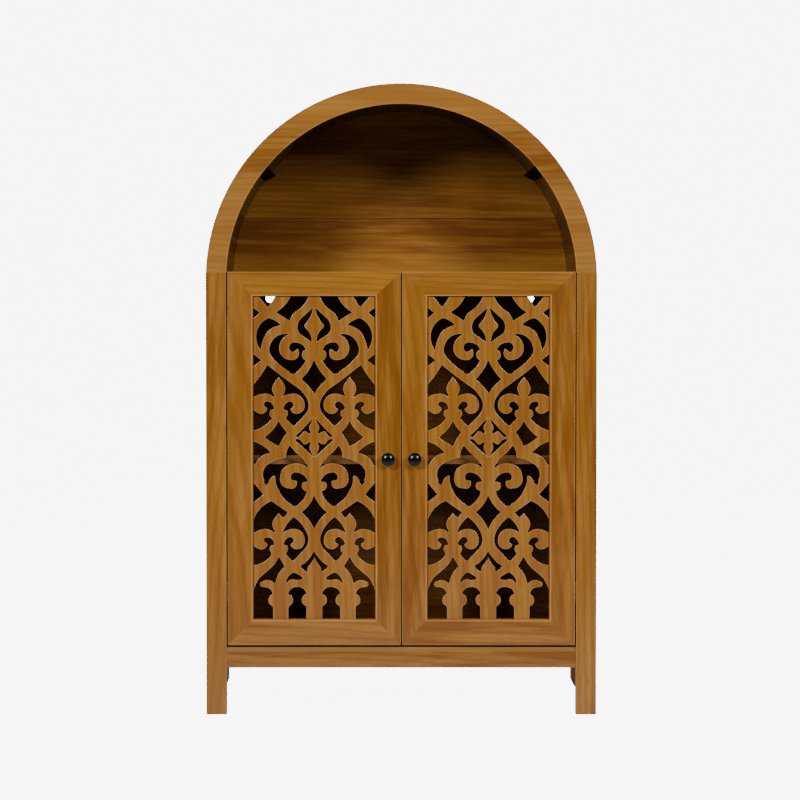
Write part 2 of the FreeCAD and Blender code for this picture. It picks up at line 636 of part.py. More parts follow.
# Pierced panel. The outlines below are the right half of the pattern. Each number is a share: across, of
# half the opening's width from its middle; down, of the opening's height from its top. A pair is a
# corner that a straight line leads to. Four numbers are a place that an arc passes through and the
# corner where it ends.
HOLE_SHARES = {
    "top_slant": [
        (0.088, 0), (0.375, 0), (0.468, 0.0249, 0.622, 0.0488), (0.4, 0.0751),
        (0.359, 0.0574, 0.286, 0.0441), (0.17, 0.0253, 0.088, 0)],
    "top_corner": [
        (0.628, 0), (0.729, 0.0267), (0.757, 0.0302, 0.791, 0.026), (0.921, 0)],
    "top_side_point": [
        (1, 0.0323), (0.892, 0.0499), (1, 0.0709)],
    "teardrop_side": [
        (0.02, 0.0355), (0.212, 0.0681), (0.271, 0.0919, 0.241, 0.1145), (0.137, 0.1272, 0.042, 0.1407),
        (0.064, 0.1174, 0.133, 0.0994), (0.16, 0.0923, 0.142, 0.0841), (0.066, 0.0633, 0.02, 0.0355)],
    "leaf": [
        (0.55, 0.0879), (0.646, 0.0738, 0.751, 0.0669), (0.866, 0.0833, 0.934, 0.1058),
        (0.946, 0.1311, 0.877, 0.1658), (0.839, 0.1356, 0.757, 0.1068), (0.665, 0.0955, 0.55, 0.0879)],
    "upper_scroll": [
        (0.418, 0.1171), (0.601, 0.1223, 0.717, 0.1498), (0.734, 0.1671, 0.695, 0.1857),
        (0.585, 0.2076, 0.42, 0.2308), (0.35, 0.2392, 0.281, 0.2322), (0.199, 0.2164, 0.139, 0.1978),
        (0.201, 0.18, 0.139, 0.1641), (0.192, 0.15, 0.29, 0.1428), (0.406, 0.155, 0.374, 0.1708),
        (0.332, 0.1698, 0.291, 0.1635), (0.272, 0.1622, 0.255, 0.1671), (0.278, 0.1903, 0.38, 0.1964),
        (0.529, 0.1838, 0.577, 0.16), (0.543, 0.1372, 0.418, 0.1171)],
    "upper_diamond": [
        (0, 0.1975), (0.091, 0.2289, 0.207, 0.2559), (0.097, 0.2757, 0, 0.2996)],
    "upper_side_point": [
        (1, 0.1751), (0.867, 0.1973), (1, 0.2184)],
    "upper_lily": [
        (0.766, 0.2116), (0.87, 0.243, 1, 0.2779), (1, 0.3155), (0.925, 0.3046, 0.82, 0.3006),
        (0.733, 0.3021, 0.659, 0.3112), (0.646, 0.3066), (0.681, 0.2952, 0.692, 0.286),
        (0.675, 0.274, 0.633, 0.2615), (0.58, 0.2483), (0.531, 0.2612), (0.487, 0.2738, 0.471, 0.286),
        (0.483, 0.2953, 0.513, 0.3089), (0.437, 0.3031, 0.35, 0.3001), (0.205, 0.3115, 0.154, 0.3351),
        (0.194, 0.3558, 0.29, 0.3628), (0.367, 0.357, 0.393, 0.3488), (0.39, 0.3471),
        (0.352, 0.3421, 0.343, 0.3329), (0.39, 0.3249, 0.45, 0.3296), (0.485, 0.3365, 0.503, 0.3445),
        (0.494, 0.3488, 0.459, 0.351), (0.43, 0.361, 0.456, 0.3731), (0.464, 0.3779), (0.366, 0.3964),
        (0.341, 0.3987, 0.308, 0.3966), (0.227, 0.381, 0.154, 0.366), (0.093, 0.3381, 0.129, 0.3134),
        (0.176, 0.3004, 0.241, 0.2866), (0.55, 0.2441, 0.766, 0.2116)],
    "upper_lily_eye": [
        (0.66, 0.3455), (0.696, 0.3306, 0.765, 0.3248), (0.822, 0.333, 0.784, 0.3427), (0.768, 0.3483),
        (0.811, 0.3597, 0.88, 0.3633), (0.949, 0.3576, 1, 0.3461), (1, 0.4138), (0.973, 0.4135),
        (0.845, 0.403, 0.693, 0.3772), (0.709, 0.3729), (0.734, 0.3611, 0.698, 0.3504), (0.656, 0.3483)],
    "quatrefoil_top": [
        (0.026, 0.3779), (0.209, 0.4153), (0.308, 0.4322), (0.255, 0.4348), (0.191, 0.4215),
        (0.155, 0.4166, 0.122, 0.419), (0.075, 0.4245), (0.052, 0.4187), (0.084, 0.407, 0.059, 0.3951)],
    "quatrefoil_bottom": [
        (0.024, 0.494), (0.212, 0.4615), (0.313, 0.4448), (0.286, 0.4404), (0.237, 0.4429),
        (0.198, 0.4511), (0.154, 0.4576, 0.105, 0.4539), (0.073, 0.4499), (0.057, 0.4549),
        (0.08, 0.466, 0.059, 0.4777)],
    "kite": [
        (0.58, 0.3852), (0.678, 0.4129, 0.811, 0.4353), (0.702, 0.4504, 0.58, 0.4631),
        (0.521, 0.441, 0.447, 0.4202), (0.525, 0.4035, 0.58, 0.3852)],
    "middle_side_point": [
        (1, 0.4475), (0.859, 0.4601, 0.715, 0.4834), (0.865, 0.4949, 0.977, 0.5218), (1, 0.5218)],
    "lyre": [
        (0.402, 0.4611), (0.443, 0.4754, 0.461, 0.4988), (0.639, 0.5077, 0.78, 0.5235),
        (0.839, 0.5455, 0.816, 0.5693), (0.782, 0.5814, 0.747, 0.5721), (0.708, 0.5607, 0.651, 0.554),
        (0.635, 0.5576), (0.624, 0.5801, 0.58, 0.5995), (0.517, 0.6205, 0.383, 0.642),
        (0.32, 0.6492, 0.26, 0.6428), (0.17, 0.6251, 0.124, 0.6029), (0.164, 0.6),
        (0.207, 0.5869, 0.184, 0.5752), (0.106, 0.5724), (0.175, 0.5531, 0.28, 0.5449),
        (0.372, 0.5518, 0.366, 0.5688), (0.315, 0.57), (0.289, 0.5714, 0.285, 0.5768),
        (0.304, 0.5899, 0.399, 0.5939), (0.536, 0.5821, 0.558, 0.5581), (0.515, 0.5337, 0.399, 0.5197),
        (0.25, 0.5168, 0.108, 0.5294), (0.096, 0.528), (0.186, 0.5026, 0.301, 0.4837)],
    "lower_side_point": [
        (1, 0.5721), (0.927, 0.592, 0.834, 0.6131), (1, 0.6399)],
    "lower_diamond": [
        (0, 0.617), (0.092, 0.6468, 0.208, 0.6682), (0.096, 0.6894, 0, 0.7205)],
    "lower_lily_inner": [
        (0.336, 0.6832), (0.436, 0.7023, 0.51, 0.7285), (0.497, 0.7311), (0.426, 0.7227, 0.335, 0.7198),
        (0.204, 0.7299, 0.157, 0.7521), (0.187, 0.7741, 0.28, 0.783), (0.366, 0.7772, 0.395, 0.7696),
        (0.386, 0.766), (0.348, 0.7609, 0.343, 0.7529), (0.391, 0.745, 0.449, 0.7497),
        (0.485, 0.7575, 0.503, 0.7671), (0.491, 0.7694, 0.457, 0.7706), (0.43, 0.7806, 0.45, 0.7913),
        (0.463, 0.798), (0.379, 0.8162), (0.351, 0.8185, 0.324, 0.8153), (0.233, 0.7967, 0.155, 0.7814),
        (0.099, 0.7571, 0.123, 0.7318), (0.194, 0.7089, 0.336, 0.6832)],
    "lower_lily_outer": [
        (0.434, 0.6681), (0.568, 0.651, 0.7, 0.6332), (0.873, 0.6547, 0.972, 0.6818), (1, 0.6962),
        (1, 0.736), (0.925, 0.7255, 0.819, 0.7198), (0.734, 0.7221, 0.66, 0.7314), (0.644, 0.7269),
        (0.684, 0.7122, 0.69, 0.704), (0.674, 0.6931, 0.627, 0.6812), (0.582, 0.6701), (0.549, 0.6778),
        (0.521, 0.6838), (0.489, 0.6824)],
    "lower_lily_eye": [
        (0.661, 0.766), (0.697, 0.7513, 0.775, 0.7461), (0.826, 0.755, 0.788, 0.7631), (0.768, 0.7684),
        (0.809, 0.7802, 0.88, 0.7837), (0.951, 0.7782, 1, 0.7675), (1, 0.8324), (0.964, 0.8316),
        (0.836, 0.8234, 0.714, 0.8027), (0.704, 0.7986), (0.713, 0.7918), (0.734, 0.7811, 0.698, 0.7705),
        (0.656, 0.7687)],
    "lotus": [
        (0, 0.7906), (0.077, 0.8107, 0.147, 0.825), (0.226, 0.8345), (0.205, 0.8418), (0.124, 0.8531),
        (0.112, 0.849), (0.106, 0.8385, 0.08, 0.8329), (0.023, 0.8153, 0, 0.8071)],
    "column_cap": [
        (0.186, 0.8725), (0.271, 0.8608, 0.343, 0.8546), (0.411, 0.8649, 0.466, 0.8851), (0.447, 0.887),
        (0.377, 0.8769, 0.29, 0.8788), (0.21, 0.8774)],
    "column_gap": [
        (0.131, 1), (0.131, 0.9629), (0.139, 0.959), (0.209, 0.9405, 0.133, 0.9223), (0.13, 0.9215),
        (0.186, 0.9049, 0.285, 0.9003), (0.383, 0.9069, 0.43, 0.9209), (0.425, 0.9222),
        (0.348, 0.9405, 0.411, 0.9592), (0.425, 0.9649), (0.425, 1)],
    "outer_gap": [
        (0.582, 0.8059), (0.488, 0.8356), (0.511, 0.8411), (0.594, 0.8609, 0.64, 0.8888),
        (0.664, 0.8873), (0.756, 0.8788, 0.848, 0.8828), (0.89, 0.8924, 0.865, 0.8995), (0.81, 0.9009),
        (0.736, 0.9053, 0.685, 0.9215), (0.688, 0.9225), (0.756, 0.9401, 0.733, 0.9541), (0.687, 0.9595),
        (0.678, 0.9649), (0.678, 1), (1, 1), (1, 0.925), (0.977, 0.8999, 0.901, 0.8722), (0.7, 0.8394),
        (0.629, 0.8226, 0.582, 0.8059)],
}


def hole_edges(outline, middle, mirror):
    """The edges of one outline at the panel's front, on the right of the middle or mirrored."""
    half_width = size("(opening_outer - opening_inner) / 2")
    height = size("opening_top - opening_bottom")
    lip = size("hole_lip")

    def spot(across_share, down_share):
        """A place on the panel. One on the opening's edge runs on behind the frame's lip."""
        x = across_share * half_width + (lip if across_share == 1 else 0)
        z = size("opening_top") - down_share * height
        z += {0: lip, 1: -lip}.get(down_share, 0)
        return Vector(middle - x if mirror else middle + x, size("door_front + panel_setback"), z)

    places = [spot(*step[-2:]) for step in outline]
    edges = []
    for index, step in enumerate(outline[1:], start=1):
        if len(step) == 4:
            edges.append(Part.Arc(places[index - 1], spot(*step[:2]), places[index]).toShape())
        else:
            edges.append(Part.makeLine(places[index - 1], places[index]))
    on_axis = outline[0][0] == 0
    if not on_axis and not places[0].isEqual(places[-1], size("overall_width") * 1e-6):
        edges.append(Part.makeLine(places[-1], places[0]))
    return edges, on_axis


def pierced_panel(side):
    """A flat board in the rebate with every hole of the pattern and its mirror image."""
    middle = size(across("(opening_inner + opening_outer) / 2", side))
    holes = []
    for outline in HOLE_SHARES.values():
        right, on_axis = hole_edges(outline, middle, mirror=False)
        left, on_axis = hole_edges(outline, middle, mirror=True)
        outlines = [right + left] if on_axis else [right, left]
        for edges in outlines:
            holes.append(Part.Face(Part.Wire(Part.__sortEdges__(edges))))
    half = size("(opening_outer - opening_inner) / 2 + rebate_width - panel_clearance")
    bottom = size("opening_bottom - rebate_width + panel_clearance")
    top = size("opening_top + rebate_width - panel_clearance")
    front = size("door_front + panel_setback")
    blank = Part.Face(Part.makePolygon([
        Vector(middle - half, front, bottom), Vector(middle + half, front, bottom),
        Vector(middle + half, front, top), Vector(middle - half, front, top),
        Vector(middle - half, front, bottom)]))
    pierced = blank.cut(Part.makeCompound(holes))
    item = doc.addObject("Part::Feature", "PiercedPanel")
    item.Shape = pierced.extrude(Vector(0, size("panel_thickness"), 0))
    return item


# Doors
for side in SIDES:
    front, back = "door_front", "door_back"
    knob_x = across("knob_centre", side)
    door_screws = hinge_screw_groups[side, "door"]
    screw_length = "door_thickness + knob_screw_depth"
    knob_screw = fuse(
        cylinder("-y", "knob_screw_diameter / 2", knob_x, back, "knob_height", screw_length),
        cylinder("+y", "knob_screw_head_diameter / 2", knob_x, back, "knob_height",
                 "knob_screw_head_height"))
    strike_x = across("catch_distance", side)
    strike_screw = countersunk("-y", "small", strike_x, back + " + strike_thickness", "catch_middle",
                               "small_screw_length", "small_screw_head_height")
    strike = box((strike_x + " - strike_length / 2", strike_x + " + strike_length / 2"),
                 (back, back + " + strike_thickness"),
                 ("catch_middle - strike_height / 2", "catch_middle + strike_height / 2"))

    tools = {"inner_stile": [knob_screw], "top_rail": [strike_screw], "bottom_rail": [],
             "outer_stile": [hinge_mortises[side, "door"], door_screws]}
    for name in MEMBERS:
        piece("%s_door_%s" % (side, name), cut(frame_member(side, name), *tools[name]))
    piece(side + "_door_fret_panel", pierced_panel(side))

    # Strips that hold the panel in its rebate
    x_out = mirrored("opening_inner - rebate_width", "opening_outer + rebate_width", side)
    depth = ("panel_back", "door_back")
    z_out = ("opening_bottom - rebate_width", "opening_top + rebate_width")
    z_in = ("opening_bottom", "opening_top")
    piece(side + "_door_panel_strips", group([
        box(x_out, depth, (z_out[0], z_in[0])),
        box(x_out, depth, (z_in[1], z_out[1])),
        box((x_out[0], x_out[0] + " + rebate_width"), depth, z_in),
        box((x_out[1] + " - rebate_width", x_out[1]), depth, z_in)]))

    # Knob, a flattened ball on a neck and a foot
    foot = cylinder("-y", "knob_foot_diameter / 2", knob_x, front, "knob_height", "knob_foot_height")
    neck = cylinder("-y", "knob_neck_diameter / 2", knob_x, front, "knob_height",
                    "knob_reach - knob_head_thickness / 2")
    head = doc.addObject("Part::Ellipsoid", "Head")
    bind(head, "Radius1", "knob_head_thickness / 2")
    bind(head, "Radius2", "knob_diameter / 2")
    place(head, knob_x, "door_front - knob_reach + knob_head_thickness / 2", "knob_height",
          DIRECTIONS["+y"])
    piece(side + "_door_knob", cut(fuse(foot, neck, head), knob_screw))
    piece(side + "_door_knob_screw", knob_screw)
    piece(side + "_door_strike_plate", cut(strike, strike_screw))
    piece(side + "_door_strike_screw", strike_screw)

# Checks, then one file for each piece.
doc.recompute()
for item in doc.Objects:
    bad_state = [word for word in item.State if word in ("Invalid", "Error")]
    if bad_state:
        raise RuntimeError("%s (%s) failed: %s" % (item.Name, item.Label, bad_state))
os.makedirs("parts", exist_ok=True)
for item in pieces:
    if item.Shape.isNull() or not item.Shape.isValid() or not item.Shape.Solids:
        raise RuntimeError("%s has no valid solid" % item.Label)
    item.Shape.exportStep("parts/%s.step" % item.Label)
print(len(pieces), "pieces,", sum(len(item.Shape.Solids) for item in pieces), "solids")
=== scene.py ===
import json
import math

import bmesh
import bpy
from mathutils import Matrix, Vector

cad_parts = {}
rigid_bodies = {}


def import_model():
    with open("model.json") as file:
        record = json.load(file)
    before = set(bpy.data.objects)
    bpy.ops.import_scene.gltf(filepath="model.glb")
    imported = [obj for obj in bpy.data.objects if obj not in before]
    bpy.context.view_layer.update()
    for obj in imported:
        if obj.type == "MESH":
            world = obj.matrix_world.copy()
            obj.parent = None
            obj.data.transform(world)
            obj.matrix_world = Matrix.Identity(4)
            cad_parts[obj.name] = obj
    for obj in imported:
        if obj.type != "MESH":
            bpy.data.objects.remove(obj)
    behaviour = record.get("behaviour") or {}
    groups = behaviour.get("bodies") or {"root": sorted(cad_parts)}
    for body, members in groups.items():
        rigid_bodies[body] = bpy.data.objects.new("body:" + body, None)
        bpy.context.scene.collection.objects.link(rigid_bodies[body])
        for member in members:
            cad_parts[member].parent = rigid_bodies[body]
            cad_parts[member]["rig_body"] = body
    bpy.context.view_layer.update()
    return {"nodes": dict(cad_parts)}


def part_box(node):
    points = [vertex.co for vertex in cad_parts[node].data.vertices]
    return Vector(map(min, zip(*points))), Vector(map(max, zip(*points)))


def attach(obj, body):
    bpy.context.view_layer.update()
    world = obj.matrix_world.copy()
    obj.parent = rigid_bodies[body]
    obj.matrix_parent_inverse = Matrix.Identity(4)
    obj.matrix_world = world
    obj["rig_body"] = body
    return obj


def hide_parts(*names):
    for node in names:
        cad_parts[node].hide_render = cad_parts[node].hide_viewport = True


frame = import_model()
nodes = frame["nodes"]

# Camera. It stands a little over five metres in front of the doors, left of the middle and as high as the
# top of the doors. It looks slightly down, and its lens is shifted down too, so upright edges look upright.
viewpoint = bpy.data.objects.new("camera", bpy.data.cameras.new("camera"))
bpy.context.collection.objects.link(viewpoint)
viewpoint.location = (-0.044, -5.348, 0.898)
viewpoint.rotation_euler = (math.radians(88.4), 0, 0)
viewpoint.data.sensor_width = 36
viewpoint.data.lens = 113.66
viewpoint.data.shift_x = 0.0252
viewpoint.data.shift_y = -0.0658
bpy.context.scene.camera = viewpoint


# Studio. The floor is a sheet of white acrylic, and the room behind is white; both come out plain white where
# the camera sees them. Towards the cabinet the floor glows as painted light, a pool of the umbrellas' light,
# more in front of the cabinet than under it, where the dimmer glow is painted shade. Two round umbrella
# lights stand in front, a little to each side. They throw the arch's two soft shadows on the back of the
# niche, and they are the two bright spots on each knob. Two more stand behind, for the sides, the back and
# the top.
def linear(code):
    """A colour given as sRGB hex, in the linear values that a shader takes."""
    parts = [int(code[place:place + 2], 16) / 255 for place in (1, 3, 5)]
    return tuple(part / 12.92 if part <= 0.04045 else ((part + 0.055) / 1.055) ** 2.4
                 for part in parts) + (1,)


def add_node(tree, kind, inputs, **settings):
    """A shader node with its settings, and for each input a value or the socket that feeds it."""
    made = tree.nodes.new(kind)
    for name, value in settings.items():
        setattr(made, name, value)
    for name, value in inputs.items():
        if isinstance(value, bpy.types.NodeSocket):
            tree.links.new(value, made.inputs[name])
        else:
            made.inputs[name].default_value = value
    return made


def new_finish(name):
    """An empty material, its node tree and the input that its shader goes to."""
    finish = bpy.data.materials.new(name)
    finish.use_nodes = True
    finish.node_tree.nodes.clear()
    output = finish.node_tree.nodes.new("ShaderNodeOutputMaterial")
    return finish, finish.node_tree, output.inputs["Surface"]


# How strongly the floor and the room glow where the camera sees them, so that both come out plain white
SEEN_GLOW = 8.0

bpy.ops.mesh.primitive_plane_add(size=60, location=(0, 0, -0.0005))
floor = bpy.context.object
floor.name = "studio_floor"
acrylic, tree, surface = new_finish("white_acrylic_painted_glow")
place = add_node(tree, "ShaderNodeTexCoord", {}).outputs["Object"]
# Painted light: the glow fades between 0.5 and 2.2 metres from the cabinet, as a pool of the umbrellas'
# light, and towards the cabinet's back it is dimmed, as painted shade under the cabinet
reach = add_node(tree, "ShaderNodeVectorMath", {0: place}, operation="LENGTH").outputs["Value"]
near = add_node(tree, "ShaderNodeMapRange", {0: reach, 1: 0.5, 2: 2.2, 3: 0.7, 4: 0.0}).outputs[0]
depth = add_node(tree, "ShaderNodeSeparateXYZ", {0: place}).outputs[1]
painted_shade_under_cabinet = add_node(tree, "ShaderNodeMapRange", {0: depth, 1: -0.30, 2: 0.10, 3: 1.0, 4: 0.2}).outputs[0]
lit = add_node(tree, "ShaderNodeMath", {0: near, 1: painted_shade_under_cabinet}, operation="MULTIPLY").outputs[0]
seen = add_node(tree, "ShaderNodeLightPath", {}).outputs["Is Camera Ray"]
glow = add_node(tree, "ShaderNodeMix", {0: seen, 2: lit, 3: SEEN_GLOW}).outputs[0]
shader = add_node(tree, "ShaderNodeBsdfPrincipled", {
    "Base Color": linear("#6A6A6A"), "Roughness": 0.9, "IOR": 1.49,
    "Emission Color": linear("#FFFFFF"), "Emission Strength": glow})
tree.links.new(shader.outputs[0], surface)
floor.data.materials.append(acrylic)

room = bpy.data.worlds.new("white_studio")
room.use_nodes = True
tree = room.node_tree
backdrop = tree.nodes["Background"]
backdrop.inputs["Color"].default_value = linear("#FFFFFF")
seen = add_node(tree, "ShaderNodeLightPath", {}).outputs["Is Camera Ray"]
glow = add_node(tree, "ShaderNodeMix", {0: seen, 2: 0.02, 3: SEEN_GLOW}).outputs[0]
tree.links.new(glow, backdrop.inputs["Strength"])
bpy.context.scene.world = room

# Each light's power in watts, where it stands, and the spot it points at
for name, power, place, target in (
        ("left_umbrella", 153, (-2.38, -4.27, 2.52), (0, -0.19, 0.66)),
        ("right_umbrella", 128, (2.38, -4.27, 2.52), (0, -0.19, 0.66)),
        ("rear_left_umbrella", 60, (-3.0, 1.7, 2.2), (0, 0.1, 0.7)),
        ("rear_right_umbrella", 60, (3.0, 1.7, 2.2), (0, 0.1, 0.7))):
    light = bpy.data.objects.new(name, bpy.data.lights.new(name, "AREA"))
    bpy.context.collection.objects.link(light)
    light.data.shape = "DISK"
    light.data.size = 1.3
    light.data.energy = power
    light.location = place
    aim = Vector(target) - light.location
    light.rotation_euler = aim.to_track_quat("-Z", "Y").to_euler()


# Front posts. Boards of chipboard wrapped in a printed oak foil, stained honey brown with a satin lacquer.
# The foil turns the front edges in a small round, which catches the light of the umbrellas; its paler colour
# is a painted highlight. Where the round turns into the gap beside the door, it is painted nearly black, as
# painted shade in the gap.
ARCH_CENTRE = 0.8925  # height of the centre of the arch and of the curved tops
BENT_RADIUS = 0.38  # where the grain of the curved tops is measured, in the middle of their thickness

# The print's figure is stretched ten times along the board. Its noise is turned, so that no grid shows in it.
ALONG = {"x": (0.10, 1, 1), "y": (1, 0.10, 1), "z": (1, 1, 0.10), "arc": (0.10, 1, 1)}
TILT = {"x": (0, 0.5, 0.35), "y": (0.5, 0, 0.35), "z": (0.5, 0.35, 0), "arc": (0, 0.5, 0.35)}


def oak_foil(name, along, start, mid="#9C6621", pale="#AF7A33", deep="#6F3C10", red="#85501A"):
    """Oak grain in a satin lacquer. It runs along X, Y, Z or the arc of the top, and start moves it on."""
    finish, tree, surface = new_finish(name)
    place = add_node(tree, "ShaderNodeTexCoord", {}).outputs["Object"]
    if along == "arc":
        split = add_node(tree, "ShaderNodeSeparateXYZ", {0: place}).outputs
        rise = add_node(tree, "ShaderNodeMath", {
            0: split[2], 1: ARCH_CENTRE}, operation="SUBTRACT").outputs[0]
        turn = add_node(tree, "ShaderNodeMath", {0: split[0], 1: rise}, operation="ARCTAN2").outputs[0]
        length = add_node(tree, "ShaderNodeMath", {
            0: turn, 1: BENT_RADIUS}, operation="MULTIPLY").outputs[0]
        place = add_node(tree, "ShaderNodeCombineXYZ", {0: length, 1: split[1], 2: 0.0}).outputs[0]
    grain = add_node(tree, "ShaderNodeMapping", {
        "Vector": place, "Location": start, "Rotation": TILT[along], "Scale": ALONG[along]}).outputs[0]
    # Growth zones about 60 mm wide, bands about 20 mm wide, rings about 12 mm apart, streaks about 3 mm
    # wide, and pores just under 1 mm wide
    zones = add_node(tree, "ShaderNodeTexNoise", {
        "Vector": grain, "Scale": 16.0, "Detail": 2.0, "Roughness": 0.5, "Distortion": 0.4}).outputs[0]
    bands = add_node(tree, "ShaderNodeTexNoise", {
        "Vector": grain, "Scale": 50.0, "Detail": 3.0, "Roughness": 0.55, "Distortion": 0.4}).outputs[0]
    rings = add_node(tree, "ShaderNodeTexWave", {
        "Vector": grain, "Scale": 26.0, "Distortion": 7.0, "Detail": 2.0, "Detail Scale": 0.6,
        "Detail Roughness": 0.5}, wave_type="RINGS", rings_direction="SPHERICAL").outputs["Fac"]
    streaks = add_node(tree, "ShaderNodeTexNoise", {
        "Vector": grain, "Scale": 330.0, "Detail": 4.0, "Roughness": 0.65}).outputs[0]
    pores = add_node(tree, "ShaderNodeTexNoise", {
        "Vector": grain, "Scale": 1100.0, "Detail": 2.0, "Roughness": 0.6}).outputs[0]

    tone = linear(mid)
    for amount, low, high, strength, colour in (
            (zones, 0.40, 0.62, 1.0, red), (bands, 0.42, 0.68, 0.75, pale), (rings, 0.50, 1.0, 0.30, deep),
            (streaks, 0.50, 0.76, 0.45, deep), (pores, 0.55, 0.72, 0.25, deep)):
        share = add_node(tree, "ShaderNodeMapRange", {
            0: amount, 1: low, 2: high, 3: 0.0, 4: strength}).outputs[0]
        tone = add_node(tree, "ShaderNodeMix", {0: share, 6: tone, 7: linear(colour)},
                        data_type="RGBA").outputs[2]
    # The lacquer is satin, a little duller on the streaks, and sinks slightly into the pores
    relief = add_node(tree, "ShaderNodeBump", {"Height": pores, "Strength": 0.10, "Distance": 0.0003})
    sheen = add_node(tree, "ShaderNodeMapRange", {
        0: streaks, 1: 0.3, 2: 0.7, 3: 0.18, 4: 0.28}).outputs[0]
    shader = add_node(tree, "ShaderNodeBsdfPrincipled", {
        "Base Color": tone, "Roughness": sheen, "IOR": 1.5, "Normal": relief.outputs[0]})
    tree.links.new(shader.outputs[0], surface)
    return finish


def body_of(node):
    """The name of the CAD body that a node belongs to."""
    return nodes[node]["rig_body"]


def eased(node, finishes, chosen, width=0.0012, steps=3, cuts=(), finish_of=None):
    """A copy of a CAD board whose chosen edges are rounded over. It takes the board's place.

    Its flat faces become one face each, or one between the cuts, which run through its holes. The flat
    faces get the first finish and the rounds the second, or the one whose number finish_of gives.
    """
    board = bpy.data.objects.new(node + "_board", nodes[node].data.copy())
    bpy.context.collection.objects.link(board)
    bpy.ops.object.select_all(action="DESELECT")
    board.select_set(True)
    bpy.context.view_layer.objects.active = board
    board.data.materials.clear()
    for finish in finishes:
        board.data.materials.append(finish)

    # The loose triangles become a closed board of flat faces
    bpy.ops.mesh.customdata_custom_splitnormals_clear()
    bpy.ops.object.mode_set(mode="EDIT")
    bpy.ops.mesh.select_all(action="SELECT")
    bpy.ops.mesh.remove_doubles(threshold=0.000002)
    form = bmesh.from_edit_mesh(board.data)
    for place, way in cuts:
        parted = bmesh.ops.bisect_plane(form, geom=form.verts[:] + form.edges[:] + form.faces[:],
                                        plane_co=place, plane_no=way)
        for part in parted["geom_cut"]:
            if isinstance(part, bmesh.types.BMEdge):
                part.seam = True
    bmesh.update_edit_mesh(board.data)
    bpy.ops.mesh.select_all(action="SELECT")
    bpy.ops.mesh.dissolve_limited(angle_limit=math.radians(0.3), delimit={"SEAM"})

    # Its chosen edges are rounded, and the light on its flat faces stays even up to the rounds
    bpy.ops.mesh.select_all(action="DESELECT")
    form = bmesh.from_edit_mesh(board.data)
    for edge in form.edges:
        if edge.is_manifold and edge.calc_face_angle() > math.radians(25) and chosen(
                edge.verts[0].co, edge.verts[1].co):
            edge.select_set(True)
    bmesh.update_edit_mesh(board.data)
    bpy.ops.mesh.bevel(offset=width, segments=steps, affect="EDGES", clamp_overlap=False, material=ROUND)
    bpy.ops.object.mode_set(mode="OBJECT")
    for face in board.data.polygons:
        if finish_of and face.material_index == ROUND:
            face.material_index = finish_of(face)
    bpy.ops.object.shade_smooth_by_angle(angle=math.radians(30))
    level = board.modifiers.new("level_faces", "WEIGHTED_NORMAL")
    level.keep_sharp = True
    bpy.ops.object.modifier_apply(modifier=level.name)
    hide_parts(node)
    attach(board, body_of(node))
    return board


def on(value, target):
    """Whether a place lies within a fifth of a millimetre of a plane."""
    return abs(value - target) < 0.0002


def long_edge(node, axis):
    """A test for the four long edges of a straight board."""
    low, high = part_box(node)
    others = [number for number in range(3) if number != axis]

    def chosen(first, second):
        return all(on(first[number], second[number])
                   and (on(first[number], low[number]) or on(first[number], high[number]))
                   for number in others)
    return chosen


# The finishes of an eased board, by number: its flat faces, its rounds, and painted shade on rounds turned
# into a gap or hole
FLAT, ROUND, PAINTED_EDGE_SHADE = range(3)
# Paler rounds: a painted highlight, where the rounds catch the umbrellas' light
HIGHLIGHT_PAINT_TONES = {"mid": "#CE9450", "pale": "#DCA662", "deep": "#AA7739", "red": "#C48847"}
# Nearly black: painted shade, where a round turns into a gap or a hole
SHADE_PAINT_TONES = {"mid": "#2A1408", "pale": "#3A1E0C", "deep": "#180A04", "red": "#241006"}
OUTSIDE = 0.39  # edges further out than this, in metres from the middle, are the cabinet's outer corners


def turned_away(face):
    """Whether a round has turned more than halfway from the front to the gap beside it."""
    return face.normal.y > -0.75


def post_finish(face):
    """The outer corner is as brown as the flat faces; the inner round is painted shade where it turns into
    the gap beside the door.
    """
    if abs(face.center.x) > OUTSIDE:
        return FLAT
    return PAINTED_EDGE_SHADE if turned_away(face) else ROUND


for number, node in enumerate(("left_front_post", "right_front_post")):
    start = (0.31 + 0.5 * number, 0.2, 0.1)
    eased(node, (oak_foil(node + "_foil", "z", start),
                 oak_foil(node + "_edge_foil", "z", start, **HIGHLIGHT_PAINT_TONES),
                 oak_foil(node + "_edge_painted_shade", "z", start, **SHADE_PAINT_TONES)),
          long_edge(node, 2), finish_of=post_finish)


# Arch. One flat board of the same make, sawn to a half ring, so its grain runs level all the way round. Two
# growth zones are paler, one at the crown and one low down on both sides. It stands dowelled on the posts,
# and its front edges are rounded, but not its feet.
def tinted(finish, share, colour, blend="MIX"):
    """Changes a foil's colour in one zone. The share says how much of the new colour a place gets."""
    base = finish.node_tree.nodes["Principled BSDF"].inputs["Base Color"]
    tone = add_node(finish.node_tree, "ShaderNodeMix", {
        0: share, 6: base.links[0].from_socket, 7: linear(colour)}, data_type="RGBA", blend_type=blend)
    finish.node_tree.links.new(tone.outputs[2], base)


def ramp(finish, axis, low, high, start, end):
    """A value that goes from start to end between two places along X, Y or Z."""
    place = add_node(finish.node_tree, "ShaderNodeTexCoord", {}).outputs["Object"]
    split = add_node(finish.node_tree, "ShaderNodeSeparateXYZ", {0: place}).outputs["XYZ".index(axis)]
    return add_node(finish.node_tree, "ShaderNodeMapRange", {
        0: split, 1: low, 2: high, 3: start, 4: end}).outputs[0]


def arch_edge(first, second):
    """A test for the arch's two front edges, outside and inside."""
    return (on(first.y, arch_low.y) and on(second.y, arch_low.y)
            and not (on(first.z, arch_low.z) and on(second.z, arch_low.z)))


